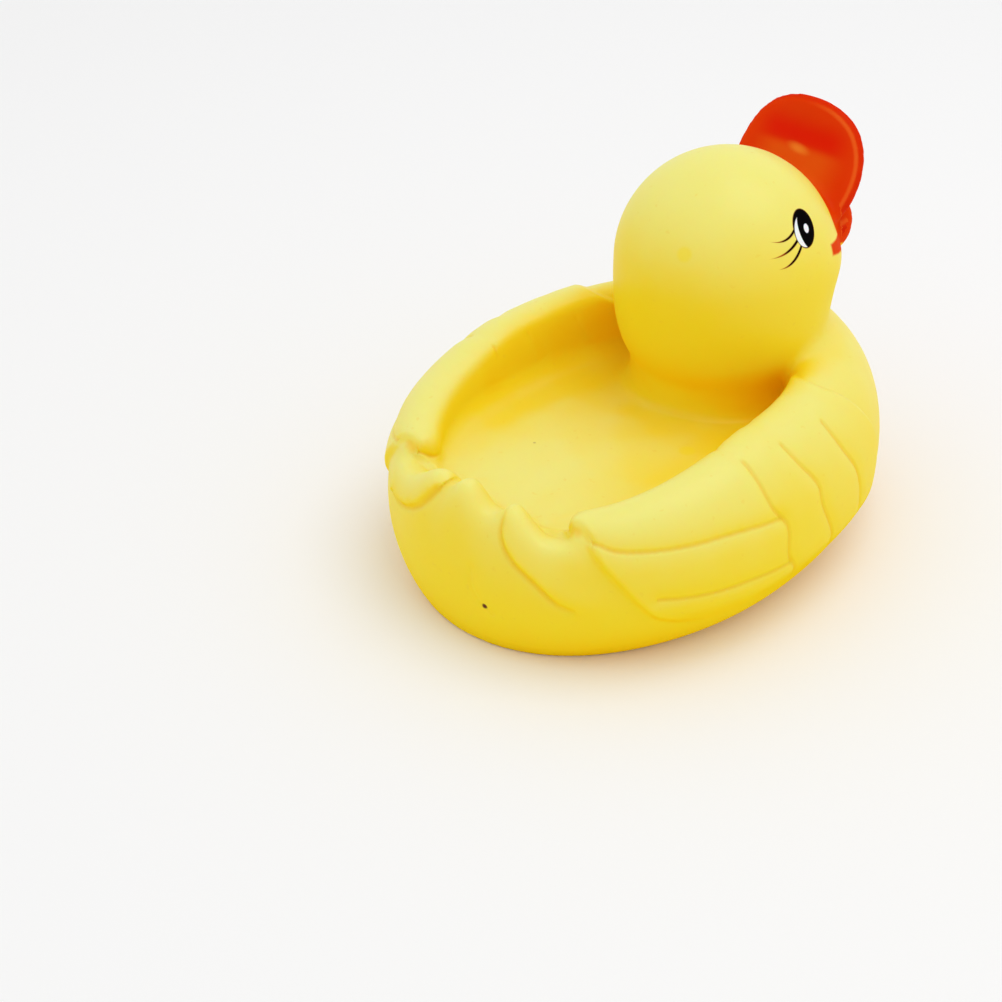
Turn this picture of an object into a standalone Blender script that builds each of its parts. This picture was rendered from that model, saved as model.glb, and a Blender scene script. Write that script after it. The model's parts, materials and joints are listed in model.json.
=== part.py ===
"""A soft vinyl bath duck whose back is a bowl: one hollow moulding, with a whistle pressed into its base.

Metres, +Z up. The duck looks along -Y, is symmetric about X = 0 and stands on Z = 0.
It is shaped about the hole in its base: "forward" is distance along -Y from the hole, and "side" is
distance from X = 0. At the end it is moved so that the origin is under the middle of its length.
"""

import math
from collections import namedtuple

import bmesh
import bpy
import numpy as np
from mathutils import Vector

# An egg outline seen from above: its widest point is at `middle`, and front and back are its ends
Egg = namedtuple("Egg", "half_width front back middle fullness")

# Outlines of the body. The belly's is the duck's whole length and width
LENGTH = 0.1280
CHEST_FORWARD = 0.0718
BASE = Egg(half_width=0.0385, front=0.0480, back=0.0525, middle=0.0, fullness=2.1)
BELLY = Egg(half_width=0.0492, front=CHEST_FORWARD, back=LENGTH - CHEST_FORWARD, middle=0.0, fullness=2.1)
RIM = Egg(half_width=0.0360, front=0.0450, back=0.0505, middle=-0.0020, fullness=2.4)

# Heights of the body, and the rim's height by angle from straight ahead
BELLY_HEIGHT = 0.0178
FLOOR_HEIGHT = 0.0280
CHEST_HEIGHT = 0.0510
SHOULDER_HEIGHT = 0.0442
FLANK_HEIGHT = 0.0425
HIP_HEIGHT = 0.0360
TAIL_HEIGHT = 0.0325
SHOULDER_ANGLE, FLANK_ANGLE, HIP_ANGLE, TAIL_ANGLE = 45, 90, 130, 156

# Side of the body, roll of the rim and inside of the bowl
BASE_ANGLE = math.radians(35)
BASE_SPARE = 0.0015
RIM_ROLL = 0.0045
RIM_DROP = 0.0050
FLOOR_FILLET = 0.0080
FILLET_RISE = 0.0048

# Head and neck
HEAD_RADIUS = 0.0252
HEAD_LENGTH_SHARE = 1.02
HEAD_FORWARD = 0.0335
HEAD_HEIGHT = 0.0604
JOWL_DEPTH = 0.0300
JOWL_FULLNESS = 3.2
CHEEK_SWELL = 0.0014
CHEEK_TURN, CHEEK_SPREAD = math.radians(45), math.radians(29)
CHEEK_RISE, CHEEK_HALF_HEIGHT = 0.0010, 0.0055
NECK_RADIUS = 0.0205
NECK_SINK = 0.0060

# Bill: two paddles along one upward curve that starts inside the head
BILL_ROOT_FORWARD = 0.0130
BILL_ROOT_RISE = 0.0010
BILL_START_SLOPE = math.radians(32)
BILL_END_SLOPE = math.radians(86)
UPPER_LENGTH = 0.0350
UPPER_HALF_WIDTH = 0.0173
UPPER_THICKNESS = 0.0056
UPPER_DISH = 0.0010
LOWER_LENGTH = 0.0185
LOWER_HALF_WIDTH = 0.0170
LOWER_THICKNESS = 0.0074
LOWER_DROP = 0.0066
BILL_FULLNESS = 2.25
BILL_EDGE_FULLNESS = 0.6

# Moulded wall, what is left of the rim's roll inside it, and the hole in the base with its recess
WALL = 0.0020
HOLLOW_ROLL = 0.0005
HOLLOW_DROP = 0.0025
HOLE_RADIUS = 0.0050
RECESS_RADIUS = 0.0095
RECESS_DEPTH = 0.0016

# Whistle
FIT_GAP = 0.0003
FLANGE_RADIUS = 0.0075
FLANGE_THICKNESS = 0.0009
BARB_RADIUS = 0.0056
BARB_HEIGHT = 0.0012
HOUSING_RADIUS = 0.0044
HOUSING_TOP = 0.0085
BORE_RADIUS = 0.0018
POCKET_RADIUS = 0.0032
POCKET_DEPTH = 0.0012
REED_THICKNESS = 0.0005

# Wing, as points (forward, height) seen from the side
WING_OUTLINE = (
    (0.0150, 0.0520), (0.0230, 0.0440), (0.0285, 0.0405), (0.0350, 0.0340), (0.0385, 0.0280),
    (0.0375, 0.0210), (0.0310, 0.0130), (0.0150, 0.0085), (-0.0050, 0.0080), (-0.0220, 0.0100),
    (-0.0330, 0.0135), (-0.0375, 0.0180), (-0.0405, 0.0230), (-0.0428, 0.0275), (-0.0430, 0.0310),
    (-0.0412, 0.0340), (-0.0395, 0.0520),
)
WING_FOOT, WING_FULL = 0.0090, 0.0170
FEATHER_LINES = (
    ((0.0165, 0.0400), (0.0182, 0.0365), (0.0207, 0.0324), (0.0244, 0.0273), (0.0264, 0.0219),
     (0.0271, 0.0160)),
    ((0.0020, 0.0405), (0.0040, 0.0368), (0.0083, 0.0307), (0.0091, 0.0257), (0.0130, 0.0177),
     (0.0144, 0.0125)),
    ((-0.0085, 0.0400), (-0.0082, 0.0370), (-0.0070, 0.0318), (-0.0035, 0.0266), (-0.0033, 0.0197),
     (-0.0004, 0.0150), (0.0004, 0.0108)),
    ((-0.0425, 0.0318), (-0.0400, 0.0305), (-0.0350, 0.0301), (-0.0270, 0.0300), (-0.0180, 0.0300),
     (-0.0050, 0.0288)),
    ((-0.0023, 0.0171), (-0.0135, 0.0181), (-0.0217, 0.0183), (-0.0290, 0.0188), (-0.0345, 0.0195)),
)
WING_RAISE = 0.0013
WING_EDGE = 0.0026
GROOVE_DEPTH = 0.0005
GROOVE_HALF_WIDTH = 0.0016

# Where the relief of wings and tail fades out: near the neck, towards the head, and in from the rim,
# the last as shares of the distance to the rim's crest
CLEAR_OF_NECK, FULL_FROM_NECK = 0.0010, 0.0050
WING_TOP, WING_TOP_FULL = 0.0520, 0.0480
WING_RIM_SHARE, TAIL_RIM_SHARE, TAIL_RIM_FULL = 0.87, 0.93, 1.0

# Tail feathers: lobes on the rim, a saddle in the rim from them to each wing's tip, and a crease beside
# each outer lobe as points (side, height) seen from behind
TAIL_START, TAIL_FULL = -0.0330, -0.0390
LOBE_HEIGHT, LOBE_HALF_WIDTH = 0.0058, 0.0042
FINGER_SIDE, FINGER_HEIGHT = 0.0096, 0.0037
FINGER_INNER_WIDTH, FINGER_OUTER_WIDTH = 0.0022, 0.0052
SADDLE_START, SADDLE_FULL, SADDLE_TIP, SADDLE_END = 0.0120, 0.0205, 0.0236, 0.0254
SADDLE_DEPTH, SADDLE_OUT = 0.0034, 0.0030
TAIL_CREASE = (
    (0.0078, 0.0390), (0.0090, 0.0350), (0.0100, 0.0315), (0.0118, 0.0285), (0.0145, 0.0256),
    (0.0178, 0.0230), (0.0205, 0.0205), (0.0228, 0.0181), (0.0255, 0.0165),
)
TAIL_STEP = 0.0013
TAIL_STEP_FADE = 0.0080
CREASE_DEPTH = 0.0005
CREASE_HALF_WIDTH = 0.0016
CREASE_FOOT, CREASE_FULL = 0.0150, 0.0210

# Fillets at the neck and the bill, as the reach of the smoothing on each side of the join
NECK_FILLET = 0.0120
NECK_FILLET_TOP, NECK_FILLET_FULL = 0.0020, 0.0100
BILL_FILLET = 0.0040
BILL_JOIN_OUT = 0.0010
BILL_SMOOTHING = 0.6

# Mesh fineness
RING_POINTS = 240
ARC_STEPS = 8
HOLLOW_ARC_STEPS = 5
SKIN_VOXEL = 0.0011
SKIN_TRIANGLES = 8900
JOIN_PASSES = 34
CORE_POINTS = 40
WHISTLE_STEPS = 24


def remove_everything():
    for obj in list(bpy.data.objects):
        bpy.data.objects.remove(obj, do_unlink=True)


def new_collection(name, hidden=False):
    made = bpy.data.collections.new(name)
    bpy.context.scene.collection.children.link(made)
    made.hide_render = hidden
    return made


def put_in(obj, collection, name):
    """Names an object and moves it to its collection. Helpers are hidden from renders and drawn as wire."""
    for old in list(obj.users_collection):
        old.objects.unlink(obj)
    collection.objects.link(obj)
    obj.name = name
    obj.data.name = name
    if collection.hide_render:
        obj.hide_render = True
        obj.display_type = "WIRE"
    return obj


def object_from(bm, name, collection):
    bmesh.ops.recalc_face_normals(bm, faces=bm.faces)
    mesh = bpy.data.meshes.new(name)
    bm.to_mesh(mesh)
    bm.free()
    obj = bpy.data.objects.new(name, mesh)
    bpy.context.scene.collection.objects.link(obj)
    return put_in(obj, collection, name)


def bake(obj):
    """Turns the object's modifiers into mesh."""
    graph = bpy.context.evaluated_depsgraph_get()
    graph.update()
    mesh = bpy.data.meshes.new_from_object(obj.evaluated_get(graph))
    obj.modifiers.clear()
    obj.data = mesh


def boolean(obj, other, operation):
    made = obj.modifiers.new(other.name, "BOOLEAN")
    made.operation = operation
    made.object = other
    made.solver = "EXACT"
    bake(obj)


def material(name, colour, roughness):
    made = bpy.data.materials.new(name)
    made.use_nodes = True
    shader = made.node_tree.nodes["Principled BSDF"]
    shader.inputs["Base Color"].default_value = (*colour, 1)
    shader.inputs["Roughness"].default_value = roughness
    shader.inputs["Metallic"].default_value = 0
    return made


def vertex_array(mesh):
    points = np.empty(len(mesh.vertices) * 3)
    mesh.vertices.foreach_get("co", points)
    return points.reshape(-1, 3)


def normal_array(mesh):
    normals = np.empty(len(mesh.vertices) * 3)
    mesh.vertices.foreach_get("normal", normals)
    return normals.reshape(-1, 3)


def ease(share):
    share = np.clip(share, 0, 1)
    return share * share * (3 - 2 * share)


def rising(values, start, full):
    """0 up to `start`, 1 from `full` on, and eased between. With `full` below `start` it falls instead."""
    return ease((values - start) / (full - start))


def grown(egg, by):
    return egg._replace(half_width=egg.half_width + by, front=egg.front + by, back=egg.back + by)


def between(first, second, share):
    return Egg(*(a + (b - a) * share for a, b in zip(first, second)))


def egg_point(egg, angle):
    """Point (x, y) of an egg outline, at an angle from straight ahead."""
    c, s = math.cos(angle), math.sin(angle)
    reach = (abs(c) ** egg.fullness + abs(s) ** egg.fullness) ** (-1 / egg.fullness)
    length = egg.front - egg.middle if c > 0 else egg.back + egg.middle
    return egg.half_width * s * reach, -(egg.middle + length * c * reach)


def saddle(angle):
    """Share of the saddle's depth at an angle from straight ahead: it deepens up to the wing's tip."""
    side, back = egg_point(RIM, angle)
    deeper, ending = rising(abs(side), SADDLE_START, SADDLE_FULL), rising(abs(side), SADDLE_END, SADDLE_TIP)
    return float(deeper * ending) if back > 0 else 0.0


def rim_height(angle):
    """Height of the rim at an angle from straight ahead, with the tail's lobes and saddles."""
    turn = math.degrees(math.acos(max(-1.0, min(1.0, math.cos(angle)))))
    stops = (
        (0, CHEST_HEIGHT), (SHOULDER_ANGLE, SHOULDER_HEIGHT), (FLANK_ANGLE, FLANK_HEIGHT),
        (HIP_ANGLE, HIP_HEIGHT), (TAIL_ANGLE, TAIL_HEIGHT), (180, TAIL_HEIGHT),
    )
    height = float(np.interp(turn, *zip(*stops)))
    side, back = egg_point(RIM, angle)
    lobe = LOBE_HEIGHT * math.exp(-((side / LOBE_HALF_WIDTH) ** 2))
    from_finger = abs(side) - FINGER_SIDE
    finger_width = FINGER_OUTER_WIDTH if from_finger > 0 else FINGER_INNER_WIDTH
    finger = FINGER_HEIGHT * math.exp(-((from_finger / finger_width) ** 2))
    height += (lobe + finger) * float(rising(back, -TAIL_START, -TAIL_FULL))
    return height - SADDLE_DEPTH * saddle(angle)


def level(height):
    return lambda angle: height


def body_sections(inset, steps):
    """Egg rings of the body, from the base up the side, over the rim and down to the bowl's floor.

    Each has its height by angle, and the share of the saddle's outward shift that it takes part in.
    With no inset this is the outer skin, which reaches a little below the base, to be cut off flat there.
    An inset of one wall gives the hollow inside the moulding instead.
    """
    base, belly, rim = grown(BASE, -inset), grown(BELLY, -inset), grown(RIM, -inset)
    roll, full_drop = (HOLLOW_ROLL, HOLLOW_DROP) if inset else (RIM_ROLL, RIM_DROP)
    lip = grown(rim, -roll)
    floor = grown(lip, -FLOOR_FILLET)
    floor_height = FLOOR_HEIGHT - inset

    def top(angle):
        return rim_height(angle) - inset

    def drop(angle):
        return min(full_drop, (top(angle) - floor_height) / 2)

    foot = level(inset) if inset else level(-BASE_SPARE)
    foot_outline = base if inset else grown(base, -BASE_SPARE / math.tan(BASE_ANGLE))
    sections = [(grown(base, -BASE.half_width / 2), foot, 0), (foot_outline, foot, 0)]
    for k in range(0 if not inset else 1, steps + 1):
        a = BASE_ANGLE + (math.pi / 2 - BASE_ANGLE) * k / steps
        out = (math.sin(a) - math.sin(BASE_ANGLE)) / (1 - math.sin(BASE_ANGLE))
        up = inset + (BELLY_HEIGHT - inset) * (1 - math.cos(a) / math.cos(BASE_ANGLE))
        sections.append((between(base, belly, out), level(up), 0))
    for k in range(1, steps + 1):
        a = math.pi / 2 * k / steps
        sections.append((
            between(belly, rim, 1 - math.cos(a)),
            lambda t, up=math.sin(a): BELLY_HEIGHT + (top(t) - BELLY_HEIGHT) * up,
            1 - math.cos(a),
        ))
    for k in range(1, steps + 1):
        a = math.pi / 2 * k / steps
        sections.append((
            between(rim, lip, math.sin(a)),
            lambda t, down=1 - math.cos(a): top(t) - drop(t) * down,
            1,
        ))
    for k in range(steps + 1):
        a = math.pi / 2 * k / steps
        sections.append((
            between(lip, floor, 1 - math.cos(a)),
            lambda t, up=1 - math.sin(a): floor_height
            + up * min(FILLET_RISE, top(t) - drop(t) - floor_height),
            math.cos(a),
        ))
    sections.append((grown(floor, -FLOOR_FILLET), level(floor_height), 0))
    return sections


def loft(sections, points, name, collection):
    """Closed body through egg rings, with flat ends."""
    bm = bmesh.new()
    rows = []
    angles = [2 * math.pi * i / points for i in range(points)]
    for outline, height, shifted in sections:
        row = []
        for a in angles:
            wider = grown(outline, SADDLE_OUT * saddle(a) * shifted)
            row.append(bm.verts.new((*egg_point(wider, a), height(a))))
        rows.append(row)
    for low, high in zip(rows[:-1], rows[1:]):
        for i in range(points):
            j = (i + 1) % points
            bm.faces.new((low[i], low[j], high[j], high[i]))
    bm.faces.new(rows[0])
    bm.faces.new(rows[-1])
    return object_from(bm, name, collection)


def cheek_swell(side, back, up):
    """How far the cheeks stand out, at a point measured from the head's middle."""
    turn = math.atan2(side, -back)
    from_cheek = (abs(turn) - CHEEK_TURN) / CHEEK_SPREAD, (up - CHEEK_RISE) / CHEEK_HALF_HEIGHT
    swell = CHEEK_SWELL * math.exp(-math.hypot(*from_cheek) ** 2)
    return Vector((swell * math.sin(turn), -swell * math.cos(turn), 0))


def head_blank(inset, segments, name, collection):
    """Ball whose lower half is fuller and longer, so that it runs down into the neck."""
    bpy.ops.mesh.primitive_uv_sphere_add(segments=segments, ring_count=segments // 2, radius=1)
    head = put_in(bpy.context.object, collection, name)
    radius = HEAD_RADIUS - inset
    depth = JOWL_DEPTH - inset
    for vertex in head.data.vertices:
        x, y, z = vertex.co
        across = math.hypot(x, y)
        if z < 0:
            wide = max(0.0, 1 - min(1.0, -z) ** JOWL_FULLNESS) ** (1 / JOWL_FULLNESS)
            stretch = wide / across if across > 0.001 else 0.0
            vertex.co = (x * stretch * radius, y * stretch * radius, z * depth)
        else:
            vertex.co = (x * radius, y * radius, z * radius)
        vertex.co.y *= HEAD_LENGTH_SHARE
        vertex.co += cheek_swell(*vertex.co) + Vector((0, -HEAD_FORWARD, HEAD_HEIGHT))
    return head


def neck_blank(inset, segments, name, collection):
    foot = FLOOR_HEIGHT - inset - NECK_SINK
    bpy.ops.mesh.primitive_cylinder_add(
        vertices=segments, radius=NECK_RADIUS - inset, depth=HEAD_HEIGHT - foot,
        location=(0, -HEAD_FORWARD, (HEAD_HEIGHT + foot) / 2),
    )
    bpy.ops.object.transform_apply(location=True)
    return put_in(bpy.context.object, collection, name)


def bill_curve(length, distance):
    """Point (forward, height) on the bill's centre line, and the line's slope there."""
    steps = 24
    forward = HEAD_FORWARD + BILL_ROOT_FORWARD
    height = HEAD_HEIGHT + BILL_ROOT_RISE
    bend = (BILL_END_SLOPE - BILL_START_SLOPE) * distance / length
    for k in range(steps):
        slope = BILL_START_SLOPE + bend * (k + 0.5) / steps
        forward += distance / steps * math.cos(slope)
        height += distance / steps * math.sin(slope)
    return forward, height, BILL_START_SLOPE + bend


def bill_blank(length, half_width, thickness, dish, drop, name, collection):
    """Flattened ball bent along the bill's curve: wide, round at the end and dished on top."""
    bpy.ops.mesh.primitive_uv_sphere_add(segments=64, ring_count=32, radius=1)
    bill = put_in(bpy.context.object, collection, name)
    for vertex in bill.data.vertices:
        x, y, z = vertex.co
        flat = math.hypot(x, y)
        if flat > 0.001:
            full = flat / (abs(x) ** BILL_FULLNESS + abs(y) ** BILL_FULLNESS) ** (1 / BILL_FULLNESS)
            x, y = x * full, y * full
        up = math.copysign(abs(z) ** BILL_EDGE_FULLNESS, z) * thickness / 2
        along = length * (1 - y) / 2
        forward, height, slope = bill_curve(UPPER_LENGTH, along)
        edge = min(1.0, max(abs(x), 2 * along / length - 1) ** 2)
        lift = up - drop - dish * (1 - edge)
        vertex.co = (
            x * half_width,
            -(forward - lift * math.sin(slope)),
            height + lift * math.cos(slope),
        )
    return bill


def distance_to(line, across, up):
    """Distance of each point (across, up) from a line of points, and the side of the line it is on."""
    best = np.full(len(across), np.inf)
    side = np.ones(len(across))
    for (ax, ay), (bx, by) in zip(line[:-1], line[1:]):
        dx, dy = bx - ax, by - ay
        share = np.clip(((across - ax) * dx + (up - ay) * dy) / (dx * dx + dy * dy), 0, 1)
        gap = np.hypot(across - ax - share * dx, up - ay - share * dy)
        turn = np.sign(dx * (up - ay) - dy * (across - ax))
        side = np.where(gap < best, turn, side)
        best = np.minimum(best, gap)
    return best, side


def is_inside(line, across, up):
    inside = np.zeros(len(across), bool)
    for (ax, ay), (bx, by) in zip(line, line[1:] + line[:1]):
        crosses = (ay > up) != (by > up)
        at = ax + (up - ay) / (by - ay if by != ay else 1) * (bx - ax)
        inside ^= crosses & (across < at)
    return inside


def rim_share(side, forward):
    """Distance out from the rim's widest place, as a share of the distance to the rim's crest that way."""
    length = np.where(forward > RIM.middle, RIM.front - RIM.middle, RIM.back + RIM.middle)
    across, along = side / RIM.half_width, np.abs(forward - RIM.middle) / length
    return (across ** RIM.fullness + along ** RIM.fullness) ** (1 / RIM.fullness)


def relief(points):
    """How far each point of the skin moves along its normal for the wings and the tail feathers."""
    side, forward, height = np.abs(points[:, 0]), -points[:, 1], points[:, 2]
    from_neck = np.hypot(side, forward - HEAD_FORWARD)
    on_body = rising(from_neck, NECK_RADIUS + CLEAR_OF_NECK, NECK_RADIUS + FULL_FROM_NECK)
    on_body *= rising(height, WING_TOP, WING_TOP_FULL)
    inside = is_inside(WING_OUTLINE, forward, height)
    gap, _ = distance_to(WING_OUTLINE, forward, height)
    wing = WING_RAISE * ease(0.5 + np.where(inside, gap, -gap) / WING_EDGE)
    for line in FEATHER_LINES:
        gap, _ = distance_to(line, forward, height)
        wing -= GROOVE_DEPTH * rising(gap, GROOVE_HALF_WIDTH, 0) * inside
    from_bowl = rim_share(side, forward)
    wing *= rising(height, WING_FOOT, WING_FULL) * on_body
    wing *= rising(from_bowl, WING_RIM_SHARE, TAIL_RIM_SHARE)
    gap, turn = distance_to(TAIL_CREASE, side, height)
    outer = TAIL_STEP * rising(gap, -CREASE_HALF_WIDTH / 3, CREASE_HALF_WIDTH)
    outer *= rising(gap, TAIL_STEP_FADE, 0)
    tail = np.where(turn > 0, outer, 0) - CREASE_DEPTH * rising(gap, CREASE_HALF_WIDTH, 0)
    tail *= rising(height, CREASE_FOOT, CREASE_FULL) * rising(forward, TAIL_START, TAIL_FULL) * ~inside
    return wing + tail * rising(from_bowl, TAIL_RIM_SHARE, TAIL_RIM_FULL)


def smooth_joins(body):
    """Soft fillets where the neck leaves the bowl and the chest, and where the bill leaves the head."""
    points = vertex_array(body.data)
    height = points[:, 2]
    from_axis = np.hypot(points[:, 0], points[:, 1] + HEAD_FORWARD)
    neck = rising(np.abs(from_axis - NECK_RADIUS), NECK_FILLET, 0)
    neck *= rising(height, HEAD_HEIGHT - NECK_FILLET_TOP, HEAD_HEIGHT - NECK_FILLET_FULL)
    neck *= rising(height, BELLY_HEIGHT, FLOOR_HEIGHT)
    from_head = np.linalg.norm(points - np.array((0, -HEAD_FORWARD, HEAD_HEIGHT)), axis=1)
    bill = BILL_SMOOTHING * rising(np.abs(from_head - HEAD_RADIUS - BILL_JOIN_OUT), BILL_FILLET, 0)
    bill *= (points[:, 1] < -HEAD_FORWARD - HEAD_RADIUS / 2) & (height > HEAD_HEIGHT - LOWER_DROP)
    weight = np.maximum(neck, bill)
    group = body.vertex_groups.new(name="joins")
    for index in np.flatnonzero(weight > 0.02):
        group.add([int(index)], float(weight[index]), "REPLACE")
    for name, passes, vertices in (("fillets", JOIN_PASSES, group.name), ("even", 2, "")):
        smooth = body.modifiers.new(name, "SMOOTH")
        smooth.factor = 0.5
        smooth.iterations = passes
        smooth.vertex_group = vertices
    bake(body)


def outer_skin(collection, helpers):
    body = loft(body_sections(0, ARC_STEPS), RING_POINTS, "duck_body", collection)
    blanks = [
        head_blank(0, 96, "head_blank", helpers),
        neck_blank(0, 96, "neck_blank", helpers),
        bill_blank(UPPER_LENGTH, UPPER_HALF_WIDTH, UPPER_THICKNESS, UPPER_DISH, 0, "upper_bill", helpers),
        bill_blank(LOWER_LENGTH, LOWER_HALF_WIDTH, LOWER_THICKNESS, 0, LOWER_DROP, "lower_bill", helpers),
    ]
    for obj in bpy.context.view_layer.objects:
        obj.select_set(obj in blanks or obj == body)
    bpy.context.view_layer.objects.active = body
    bpy.ops.object.join()
    remesh = body.modifiers.new("one skin", "REMESH")
    remesh.mode = "VOXEL"
    remesh.voxel_size = SKIN_VOXEL
    bake(body)
    smooth_joins(body)
    points, normals = vertex_array(body.data), normal_array(body.data)
    moved = points + normals * relief(points)[:, None]
    body.data.vertices.foreach_set("co", moved.ravel())
    body.data.update()
    triangles = sum(len(face.vertices) - 2 for face in body.data.polygons)
    fewer = body.modifiers.new("fewer faces", "DECIMATE")
    fewer.ratio = SKIN_TRIANGLES / triangles
    fewer.use_symmetry = True
    bake(body)
    return body


def disc(radius, low, high, segments, name, collection):
    bpy.ops.mesh.primitive_cylinder_add(
        vertices=segments, radius=radius, depth=high - low, location=(0, 0, (low + high) / 2)
    )
    bpy.ops.object.transform_apply(location=True)
    return put_in(bpy.context.object, collection, name)


def hollow(helpers):
    """The space inside the moulding: body, neck and head, one wall thickness in. The bill is solid."""
    space = loft(body_sections(WALL, HOLLOW_ARC_STEPS), CORE_POINTS, "hollow", helpers)
    boolean(space, neck_blank(WALL, 24, "hollow_neck", helpers), "UNION")
    boolean(space, head_blank(WALL, 24, "hollow_head", helpers), "UNION")
    seat = disc(RECESS_RADIUS + WALL, -WALL, RECESS_DEPTH + WALL, 24, "recess_wall", helpers)
    boolean(space, seat, "DIFFERENCE")
    return space


def ground(helpers):
    """Block below Z = 0, to cut the base off flat."""
    size = 3 * BELLY.front
    bpy.ops.mesh.primitive_cube_add(size=size, location=(0, 0, -size / 2))
    bpy.ops.object.transform_apply(location=True)
    return put_in(bpy.context.object, helpers, "ground")


def duck_body(collection, helpers):
    body = outer_skin(collection, helpers)
    boolean(body, ground(helpers), "DIFFERENCE")
    boolean(body, hollow(helpers), "DIFFERENCE")
    boolean(body, disc(RECESS_RADIUS, -WALL, RECESS_DEPTH, 40, "recess", helpers), "DIFFERENCE")
    boolean(body, disc(HOLE_RADIUS, -WALL, RECESS_DEPTH + 2 * WALL, 32, "hole", helpers), "DIFFERENCE")
    body.data.materials.clear()
    body.data.materials.append(material("yellow_vinyl", (0.85, 0.76, 0.10), 0.45))
    body.data.shade_smooth()
    body.data.set_sharp_from_angle(angle=math.radians(50))
    return body


def turned(profile, name, collection):
    """Solid of revolution from a closed profile of (radius, height), run down its outer side."""
    mesh = bpy.data.meshes.new(name)
    count = len(profile)
    mesh.from_pydata([(r, 0, z) for r, z in profile], [(i, (i + 1) % count) for i in range(count)], [])
    obj = bpy.data.objects.new(name, mesh)
    bpy.context.scene.collection.objects.link(obj)
    put_in(obj, collection, name)
    spin = obj.modifiers.new("spin", "SCREW")
    spin.steps = WHISTLE_STEPS
    spin.render_steps = WHISTLE_STEPS
    spin.use_merge_vertices = True
    spin.merge_threshold = 0.00001
    bake(obj)
    obj.data.shade_smooth()
    obj.data.set_sharp_from_angle(angle=math.radians(30))
    return obj


def whistle(collection):
    """Housing that snaps into the hole from below, with a reed disc in a pocket at its inner end."""
    seat = RECESS_DEPTH - FIT_GAP
    inner = RECESS_DEPTH + WALL + FIT_GAP
    neck = HOLE_RADIUS - FIT_GAP
    pocket = HOUSING_TOP - POCKET_DEPTH
    housing = turned((
        (HOUSING_RADIUS, HOUSING_TOP), (HOUSING_RADIUS, inner + BARB_HEIGHT), (BARB_RADIUS, inner),
        (neck, inner), (neck, seat), (FLANGE_RADIUS, seat), (FLANGE_RADIUS, seat - FLANGE_THICKNESS),
        (BORE_RADIUS, seat - FLANGE_THICKNESS), (BORE_RADIUS, pocket), (POCKET_RADIUS, pocket),
        (POCKET_RADIUS, HOUSING_TOP),
    ), "whistle_housing", collection)
    low, radius = pocket + FIT_GAP, POCKET_RADIUS - FIT_GAP
    reed = disc(radius, low, low + REED_THICKNESS, WHISTLE_STEPS, "whistle_reed", collection)
    housing.data.materials.append(material("white_plastic", (0.86, 0.86, 0.82), 0.4))
    reed.data.materials.append(material("clear_film", (0.75, 0.80, 0.80), 0.25))


def main():
    remove_everything()
    duck = new_collection("rubber_duck")
    helpers = new_collection("cutters", hidden=True)
    duck_body(duck, helpers)
    whistle(duck)
    for obj in duck.objects:
        obj.location.y = (BELLY.front - BELLY.back) / 2


main()
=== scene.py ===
"""The looks of a soft vinyl bath duck with a bowl for a back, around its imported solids.

Metres, +Z up, the duck looks along -Y. Lengths below are forward of the hole in the base, to the side
of X = 0, and up from the ground.
"""

import json
import math
from collections import namedtuple

import bpy
import numpy as np
from mathutils import Matrix, Vector
from mathutils.bvhtree import BVHTree

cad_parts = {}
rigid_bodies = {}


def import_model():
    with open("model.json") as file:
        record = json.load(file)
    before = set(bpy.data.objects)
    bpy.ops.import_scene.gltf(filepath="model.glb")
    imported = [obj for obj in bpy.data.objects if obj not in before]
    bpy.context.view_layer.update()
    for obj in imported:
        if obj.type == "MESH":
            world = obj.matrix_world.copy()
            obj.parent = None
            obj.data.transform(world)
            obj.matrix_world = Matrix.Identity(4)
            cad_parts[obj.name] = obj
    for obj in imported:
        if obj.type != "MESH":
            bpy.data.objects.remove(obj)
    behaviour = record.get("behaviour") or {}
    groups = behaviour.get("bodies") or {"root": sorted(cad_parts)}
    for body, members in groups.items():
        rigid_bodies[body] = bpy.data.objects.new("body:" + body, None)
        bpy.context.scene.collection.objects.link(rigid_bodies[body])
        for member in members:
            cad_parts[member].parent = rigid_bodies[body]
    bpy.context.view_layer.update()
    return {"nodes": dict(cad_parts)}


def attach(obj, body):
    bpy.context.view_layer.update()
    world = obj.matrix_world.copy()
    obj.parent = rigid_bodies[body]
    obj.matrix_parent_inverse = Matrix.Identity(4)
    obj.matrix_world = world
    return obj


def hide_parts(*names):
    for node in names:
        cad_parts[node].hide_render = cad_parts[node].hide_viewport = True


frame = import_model()

# An egg outline seen from above: its widest point is at `middle`, and front and back are its ends
Egg = namedtuple("Egg", "half_width front back middle fullness")

HOLE_Y = 0.0078
BASE = Egg(0.0385, 0.0480, 0.0525, 0.0, 2.1)
BELLY = Egg(0.0492, 0.0718, 0.0562, 0.0, 2.1)
RIM = Egg(0.0360, 0.0450, 0.0505, -0.0020, 2.4)
BELLY_HEIGHT = 0.0178
FLOOR_HEIGHT = 0.0280
BASE_ANGLE = math.radians(35)
BASE_SPARE = 0.0015
RIM_ROLL = 0.0045
RIM_DROP = 0.0050
FLOOR_FILLET = 0.0080
FILLET_RISE = 0.0048
RIM_TURNS = (0, 45, 90, 130, 156, 180)
RIM_HEIGHTS = (0.0510, 0.0442, 0.0425, 0.0360, 0.0325, 0.0325)

HEAD_RADIUS = 0.0252
HEAD_LENGTH_SHARE = 1.02
HEAD_FORWARD = 0.0335
HEAD_HEIGHT = 0.0604
JOWL_DEPTH = 0.0300
JOWL_FULLNESS = 3.2
CHEEK_SWELL = 0.0014
CHEEK_TURN, CHEEK_SPREAD = math.radians(45), math.radians(29)
CHEEK_RISE, CHEEK_HALF_HEIGHT = 0.0010, 0.0055
NECK_RADIUS = 0.0205
NECK_SINK = 0.0060

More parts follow.
